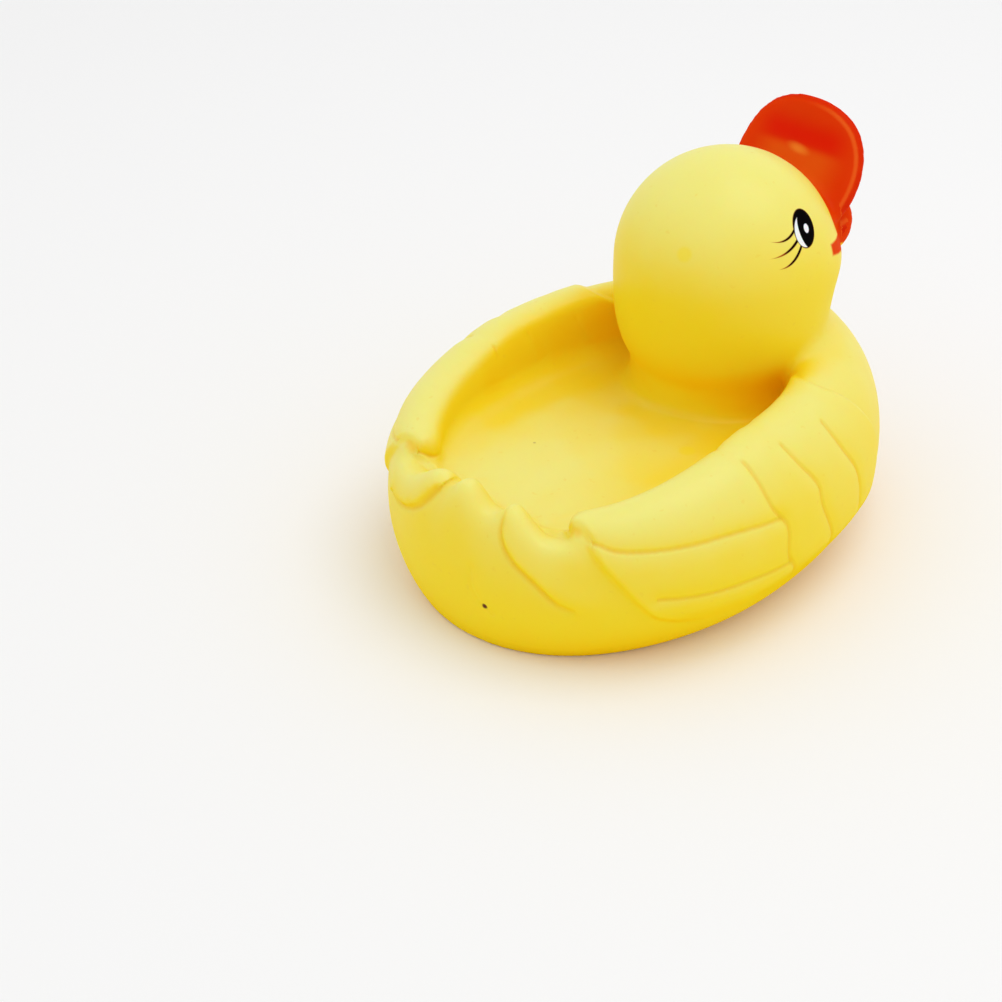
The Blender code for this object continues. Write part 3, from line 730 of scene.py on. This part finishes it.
def lash_mark_group():
    """Curved lash that thins to its tip: millimetres inside its edge, and how near it is to the tip."""
    labels = ("U", "V", "Low u", "Low v", "Bend", "Root u", "Tip u", "Half width")
    group, given, result = new_group("lash_mark", labels, ("Inside", "Tip"))
    from_low = minus(group, given["U"], given["Low u"])
    squared = times(group, from_low, from_low)
    curve = maths(group, "MULTIPLY_ADD", squared, given["Bend"], given["Low v"])
    gap = maths(group, "ABSOLUTE", minus(group, given["V"], curve))
    to_tip = maths(group, "DIVIDE", minus(group, given["Root u"], given["U"]),
                   minus(group, given["Root u"], given["Tip u"]))
    width = times(group, given["Half width"], minus(group, 1.0, maths(
        group, "POWER", maths(group, "MAXIMUM", to_tip, 0.0), 1.6)))
    past_root = times(group, maths(group, "MINIMUM", to_tip, 0.0), 30.0)
    wire(group, maths(group, "ADD", minus(group, width, gap), past_root), result["Inside"])
    wire(group, to_tip, result["Tip"])
    return group


def from_head_middle(tree):
    """Place in millimetres from the head's middle: to either side, forward and up."""
    place_on = tree.nodes.new("ShaderNodeTexCoord").outputs["Object"]
    split = tree.nodes.new("ShaderNodeSeparateXYZ")
    wire(tree, place_on, split.inputs[0])
    join = tree.nodes.new("ShaderNodeCombineXYZ")
    wire(tree, times(tree, maths(tree, "ABSOLUTE", split.outputs["X"]), 1000.0), join.inputs["X"])
    wire(tree, maths(tree, "MULTIPLY_ADD", split.outputs["Y"], -1000.0, 1000 * (HOLE_Y - HEAD_FORWARD)),
         join.inputs["Y"])
    wire(tree, maths(tree, "MULTIPLY_ADD", split.outputs["Z"], 1000.0, -1000 * HEAD_HEIGHT), join.inputs["Z"])
    return place_on, join.outputs[0]


def most(tree, first, *others):
    for other in others:
        first = maths(tree, "MAXIMUM", first, other)
    return first


# Colours of the vinyl, from painted shade in hollows to painted light on open places, and of its marks, painted
# shade, painted highlights and prints
SHADED_YELLOW = (0.98, 0.54, 0.001, 1)
HALF_SHADED_YELLOW = (0.95, 0.705, 0.016, 1)
LIT_YELLOW = (0.885, 0.830, 0.220, 1)
DUST = (0.86, 0.58, 0.03, 1)
CREASE_SHADE = (0.90, 0.50, 0.02, 1)
STAIN = (0.92, 0.74, 0.01, 1)
DARK_SPECK = (0.11, 0.012, 0.002, 1)
TIP_SHADE = (0.96, 0.56, 0.005, 1)
THIN_ORANGE, THICK_ORANGE = (0.76, 0.042, 0.0005, 1), (0.79, 0.070, 0.001, 1)
DISH_SHADE_RED, EDGE_SHADE_RED = (0.77, 0.012, 0.0003, 1), (0.66, 0.016, 0.0004, 1)
ROOT_LIGHT_ORANGE, GLINT_ORANGE, LIP_HIGHLIGHT_ORANGE = (0.83, 0.150, 0.006, 1), (0.90, 0.30, 0.03, 1), (0.88, 0.18, 0.02, 1)
INK, INK_EDGE, LASH_TIP = (0.0015, 0.001, 0.001, 1), (0.20, 0.022, 0.002, 1), (0.42, 0.05, 0.003, 1)
EYE_WHITE = (0.90, 0.92, 0.92, 1)

# Marks on the vinyl, and painted shade in the notch at each wing's tip: place (x, y, z) in millimetres and
# radius, and for the dark specks how strong they are
STAINS = (((-6.0, -3.1, 70.7), 2.2), ((-15.6, 4.2, 28.2), 2.4))
DARK_SPECKS = (
    ((-9.5, 62.8, 12.7), 0.85, 1.0), ((26.8, 33.4, 32.9), 0.5, 0.6), ((11.3, 25.4, 28.2), 0.5, 0.35),
)
WING_TIP_SHADES = (((-24.6, 50.2, 32.4), 2.4), ((24.6, 50.2, 32.4), 2.4))

# Directions (to either side, forward, up) that the sprayed bill's borders are measured along
BEHIND_BILL = (0.45, 1.0, -0.25)
MOUTH_LINE = (0, 0.22, 1.0)
UP_BILL = (0, 0.53, 0.85)

# Eye seen square on, in millimetres from the head's middle: u is forward and v is up the head
EYE_OUT = (0.840, -0.055, 0.540)
EYE_U = (0.046, 0.998, 0.030)
EYE_V = (-0.541, 0.0, 0.841)
# Ovals of the eye: its dark ball, the two that bound its white crescent, and its glint. Each one has its middle
# (u, v), half its width and height, and its lean
EYE_OVALS = (
    (1.30, 0.28, 3.35, 4.35, 0.14), (1.15, -0.28, 3.05, 3.55, 0.14), (2.58, -0.30, 3.10, 4.60, 0.04),
    (1.92, 0.02, 0.78, 1.05, 0.12),
)
# The lowest point of each lash, how it bends, where it starts and ends, and half its width
LASHES = (
    dict(low_u=-5.2, low_v=-0.35, bend=0.100, root_u=-1.8, tip_u=-7.9, half_width=0.34),
    dict(low_u=-7.2, low_v=-3.07, bend=0.056, root_u=-1.6, tip_u=-9.1, half_width=0.37),
    dict(low_u=-6.9, low_v=-5.85, bend=0.091, root_u=-1.2, tip_u=-7.9, half_width=0.44),
)


def eye_marks(tree, place_mm, egg_mark, lash_mark):
    """Masks of the printed eye: its dark parts in millimetres inside the edge, the white parts and the
    lash tips."""
    u, v = along(tree, place_mm, EYE_U), along(tree, place_mm, EYE_V)
    ball, outer, inner, glint = (
        place(tree, egg_mark, u=u, v=v, middle_u=middle_u, middle_v=middle_v, half_width=half_width,
              half_height=half_height, lean=lean)["Inside"]
        for middle_u, middle_v, half_width, half_height, lean in EYE_OVALS
    )
    crescent = maths(tree, "MINIMUM", outer, times(tree, inner, -1.0))
    white = rise(tree, most(tree, crescent, glint), -0.06, 0.10)
    lashes = [place(tree, lash_mark, u=u, v=v, **lash) for lash in LASHES]
    dark = most(tree, ball, *(lash["Inside"] for lash in lashes))
    on_side = rise(tree, along(tree, place_mm, EYE_OUT), 14.0, 16.0)
    tips = most(tree, *(lash["Tip"] for lash in lashes))
    return maths(tree, "MULTIPLY_ADD", minus(tree, on_side, 1.0), 20.0, dark), white, tips


def spot(tree, place_on, at, radius):
    """Soft round spot at a point (x, y, z) in millimetres."""
    made = tree.nodes.new("ShaderNodeVectorMath")
    made.operation = "DISTANCE"
    wire(tree, place_on, made.inputs[0])
    made.inputs[1].default_value = [value / 1000 for value in at]
    return rise(tree, made.outputs["Value"], radius / 1000, radius / 2000)


def own_value(tree, name):
    """Value that the mesh itself carries."""
    made = tree.nodes.new("ShaderNodeAttribute")
    made.attribute_name = name
    return made.outputs["Fac"]


def new_material(name):
    made = bpy.data.materials.new(name)
    made.use_nodes = True
    return made, made.node_tree, made.node_tree.nodes["Principled BSDF"]


def relief(tree, shader, height, distance, strength):
    bump = tree.nodes.new("ShaderNodeBump")
    bump.inputs["Strength"].default_value = strength
    bump.inputs["Distance"].default_value = distance
    wire(tree, height, bump.inputs["Height"])
    wire(tree, bump.outputs["Normal"], shader.inputs["Normal"])


def sprayed_bill(tree, place_on, place_mm):
    """Mask of the orange paint, measured in millimetres: the whole bill, a little of the face behind it and
    the corners of the mouth."""
    forward, up = along(tree, place_mm, (0, 1, 0)), along(tree, place_mm, (0, 0, 1))
    behind = along(tree, place_mm, BEHIND_BILL)
    behind = maths(tree, "MULTIPLY_ADD", noise(tree, place_on, 400.0, 2.0), 0.4, behind)
    lowered = along(tree, place_mm, MOUTH_LINE)
    off_chin = most(tree, rise(tree, lowered, 5.2, 6.2), rise(tree, forward, 25.9, 26.7))
    off_chin = times(tree, off_chin, rise(tree, up, -8.0, -6.5))
    face = times(tree, rise(tree, behind, 20.6, 22.2), off_chin)
    face = times(tree, face, rise(tree, forward, 14.5, 17.0))
    length = tree.nodes.new("ShaderNodeVectorMath")
    length.operation = "LENGTH"
    wire(tree, place_mm, length.inputs[0])
    beyond_head = rise(tree, length.outputs["Value"], 26.0, 26.8)
    beyond_head = times(tree, beyond_head, rise(tree, up, 6.0, 9.0))
    beyond_head = times(tree, beyond_head, rise(tree, forward, 12.0, 14.0))
    half_width = maths(tree, "MULTIPLY_ADD", forward, 0.08, 0.55)
    from_middle = maths(tree, "ABSOLUTE", minus(tree, lowered, 8.2))
    corner = minus(tree, half_width, from_middle)
    tip = times(tree, minus(tree, forward, 8.4), 0.55)
    corner = maths(tree, "MINIMUM", maths(tree, "MINIMUM", corner, tip), minus(tree, 30.0, forward))
    return most(tree, face, beyond_head, rise(tree, corner, -0.35, 0.35))


def bill_tones(tree, place_on, place_mm, egg_mark, cloud):
    """Orange paint in two tones at random, with painted shade in the dish and on the rolled outline, painted
    light along the root, a painted glint and a painted highlight along the near lip.
    """
    up_bill, across = along(tree, place_mm, UP_BILL), along(tree, place_mm, (1, 0, 0))
    # Painted shade: deep red in the dish.
    dish_shade = times(tree, rise(tree, up_bill, 27.6, 32.2), rise(tree, up_bill, 38.0, 32.6))
    dish_shade = times(tree, dish_shade, rise(tree, across, 15.0, 7.0))
    colour = blend(tree, times(tree, cloud, 0.35), THIN_ORANGE, THICK_ORANGE)
    colour = blend(tree, times(tree, dish_shade, 0.9), colour, DISH_SHADE_RED)
    # Painted light: a lighter orange along the bill's root.
    root = times(tree, rise(tree, up_bill, 31.0, 28.5), rise(tree, across, 14.0, 5.0))
    colour = blend(tree, times(tree, root, 0.55), colour, ROOT_LIGHT_ORANGE)
    # Painted highlight: the glint near the bill's root.
    glint = place(tree, egg_mark, u=up_bill, v=along(tree, place_on, (1000, 0, 0)), middle_u=29.4,
                  middle_v=0.2, half_width=1.6, half_height=4.2, lean=0.12)["Inside"]
    colour = blend(tree, times(tree, rise(tree, glint, 0.0, 1.5), 0.75), colour, GLINT_ORANGE)
    edge = own_value(tree, "bill_edge")
    # Painted highlight along the lip, just inside the outline, on the near side only.
    lip = times(tree, rise(tree, edge, 0.88, 0.92), rise(tree, edge, 0.96, 0.93))
    lip = times(tree, lip, rise(tree, along(tree, place_on, (-1, 0, 0)), -0.002, 0.010))
    # Painted shade on the rolled-over outline.
    colour = blend(tree, times(tree, rise(tree, edge, 0.92, 0.99), 0.8), colour, EDGE_SHADE_RED)
    # Painted highlight along the lip.
    return blend(tree, times(tree, lip, 0.5), colour, LIP_HIGHLIGHT_ORANGE)


def painted_vinyl(grain, egg_mark, lash_mark):
    """Soft yellow vinyl with a sprayed bill and printed eyes, its colour painted with shade and light by how
    much sky each point sees.
    """
    made, tree, shader = new_material("painted_vinyl")
    place_on, place_mm = from_head_middle(tree)
    grained = place(tree, grain, vector=place_on)
    sky, crease = own_value(tree, "sky"), own_value(tree, "crease")
    # Painted shade and light: the yellow is deeper and more orange where the skin sees less sky, and paler
    # where it sees more.
    clouded = maths(tree, "MULTIPLY_ADD", grained["Cloud"], 0.08, sky)
    yellow = blend(tree, rise(tree, clouded, 0.02, 0.50), SHADED_YELLOW, HALF_SHADED_YELLOW)
    yellow = blend(tree, rise(tree, clouded, 0.50, 1.04), yellow, LIT_YELLOW)
    yellow = blend(tree, times(tree, grained["Specks"], 0.20), yellow, DUST)
    # Painted shade in the feather creases.
    yellow = blend(tree, times(tree, crease, 0.30), yellow, CREASE_SHADE)
    for at, radius in STAINS:
        yellow = blend(tree, times(tree, spot(tree, place_on, at, radius), 0.5), yellow, STAIN)
    for at, radius, strength in DARK_SPECKS:
        yellow = blend(tree, times(tree, spot(tree, place_on, at, radius), strength), yellow, DARK_SPECK)
    # Painted shade in the notch at each wing's tip.
    for at, radius in WING_TIP_SHADES:
        yellow = blend(tree, times(tree, spot(tree, place_on, at, radius), 0.5), yellow, TIP_SHADE)

    bill = sprayed_bill(tree, place_on, place_mm)
    orange = bill_tones(tree, place_on, place_mm, egg_mark, grained["Cloud"])
    colour = blend(tree, bill, yellow, orange)

    dark, white, tips = eye_marks(tree, place_mm, egg_mark, lash_mark)
    ink = blend(tree, rise(tree, dark, -0.02, 0.18), INK_EDGE, INK)
    ink = blend(tree, rise(tree, tips, 0.60, 0.92), ink, LASH_TIP)
    printed = rise(tree, dark, -0.12, 0.08)
    colour = blend(tree, printed, colour, blend(tree, white, ink, EYE_WHITE))
    wire(tree, colour, shader.inputs["Base Color"])

    rough = maths(tree, "MULTIPLY_ADD", grained["Cloud"], 0.06, 0.43)
    rough = maths(tree, "MULTIPLY_ADD", bill, -0.10, rough)
    wire(tree, rough, shader.inputs["Roughness"])
    relief(tree, shader, grained["Height"], 0.00004, 0.35)
    shader.inputs["Subsurface Weight"].default_value = 0.35
    shader.inputs["Subsurface Radius"].default_value = (1.0, 0.45, 0.10)
    shader.inputs["Subsurface Scale"].default_value = 0.004
    shader.inputs["IOR"].default_value = 1.48
    shader.inputs["Specular IOR Level"].default_value = 0.0
    open_gloss = times(tree, rise(tree, sky, 0.25, 0.55), 0.42)
    gloss = blend_value(tree, printed, blend_value(tree, bill, open_gloss, 0.06), 0.04)
    wire(tree, gloss, shader.inputs["Coat Weight"])
    shader.inputs["Coat Roughness"].default_value = 0.28
    return made


def moulded_plastic(name, grain, light, dark, roughness, alpha=1.0):
    made, tree, shader = new_material(name)
    grained = place(tree, grain, vector=tree.nodes.new("ShaderNodeTexCoord").outputs["Object"])
    wire(tree, blend(tree, grained["Cloud"], (*light, 1), (*dark, 1)), shader.inputs["Base Color"])
    wire(tree, maths(tree, "MULTIPLY_ADD", grained["Cloud"], 0.08, roughness), shader.inputs["Roughness"])
    relief(tree, shader, grained["Height"], 0.00003, 0.3)
    shader.inputs["Alpha"].default_value = alpha
    return made


def dress(obj, material):
    obj.data.materials.clear()
    obj.data.materials.append(material)


# Stage

VIEW_TURN, VIEW_HEIGHT = math.radians(224.0), math.radians(33.2)
VIEW_DEPTH = 0.4479
HOLE_IN_PICTURE = (0.02791, -0.00764)
LENS = 68.26


def set_camera():
    right = Vector((math.cos(VIEW_TURN), math.sin(VIEW_TURN), 0))
    back = Vector((
        math.sin(VIEW_TURN) * math.cos(VIEW_HEIGHT), -math.cos(VIEW_TURN) * math.cos(VIEW_HEIGHT),
        math.sin(VIEW_HEIGHT),
    ))
    up = back.cross(right)
    across, above = HOLE_IN_PICTURE
    place_at = Vector((0, HOLE_Y, 0)) - right * across - up * above + back * VIEW_DEPTH
    bpy.ops.object.camera_add()
    camera = named("camera")
    camera.matrix_world = Matrix.Translation(place_at) @ Matrix((right, up, back)).transposed().to_4x4()
    camera.data.lens = LENS
    camera.data.sensor_width = 36
    camera.data.clip_start = 0.01
    bpy.context.scene.camera = camera


def soft_light(name, place_at, size, power):
    bpy.ops.object.light_add(type="AREA", location=place_at)
    light = named(name)
    light.data.size = size
    light.data.energy = power
    light.rotation_euler = (Vector((0, 0, 0.03)) - Vector(place_at)).to_track_quat("-Z", "Y").to_euler()


def set_stage():
    bpy.ops.mesh.primitive_plane_add(size=6, location=(0, 0, -0.0002))
    floor = named("floor")
    bpy.ops.object.transform_apply(location=True)
    made, _, shader = new_material("pale_floor")
    shader.inputs["Base Color"].default_value = (0.96, 0.96, 0.96, 1)
    shader.inputs["Roughness"].default_value = 0.9
    dress(floor, made)
    world = bpy.data.worlds.new("studio")
    world.use_nodes = True
    world.node_tree.nodes["Background"].inputs["Color"].default_value = (1, 1, 1, 1)
    world.node_tree.nodes["Background"].inputs["Strength"].default_value = 0.83
    bpy.context.scene.world = world
    soft_light("key_light", (-0.20, -0.15, 0.85), 0.6, 1.5)
    bpy.context.scene.view_settings.view_transform = "Standard"


skin = model_duck()
grain = grain_group()
dress(skin, painted_vinyl(grain, egg_mark_group(), lash_mark_group()))
dress(frame["nodes"]["whistle_housing"],
      moulded_plastic("white_plastic", grain, (0.80, 0.80, 0.76), (0.74, 0.73, 0.68), 0.38))
dress(frame["nodes"]["whistle_reed"],
      moulded_plastic("clear_film", grain, (0.70, 0.74, 0.74), (0.62, 0.66, 0.66), 0.2))
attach(skin, "root")
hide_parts("duck_body")

deselect()
set_stage()
set_camera()
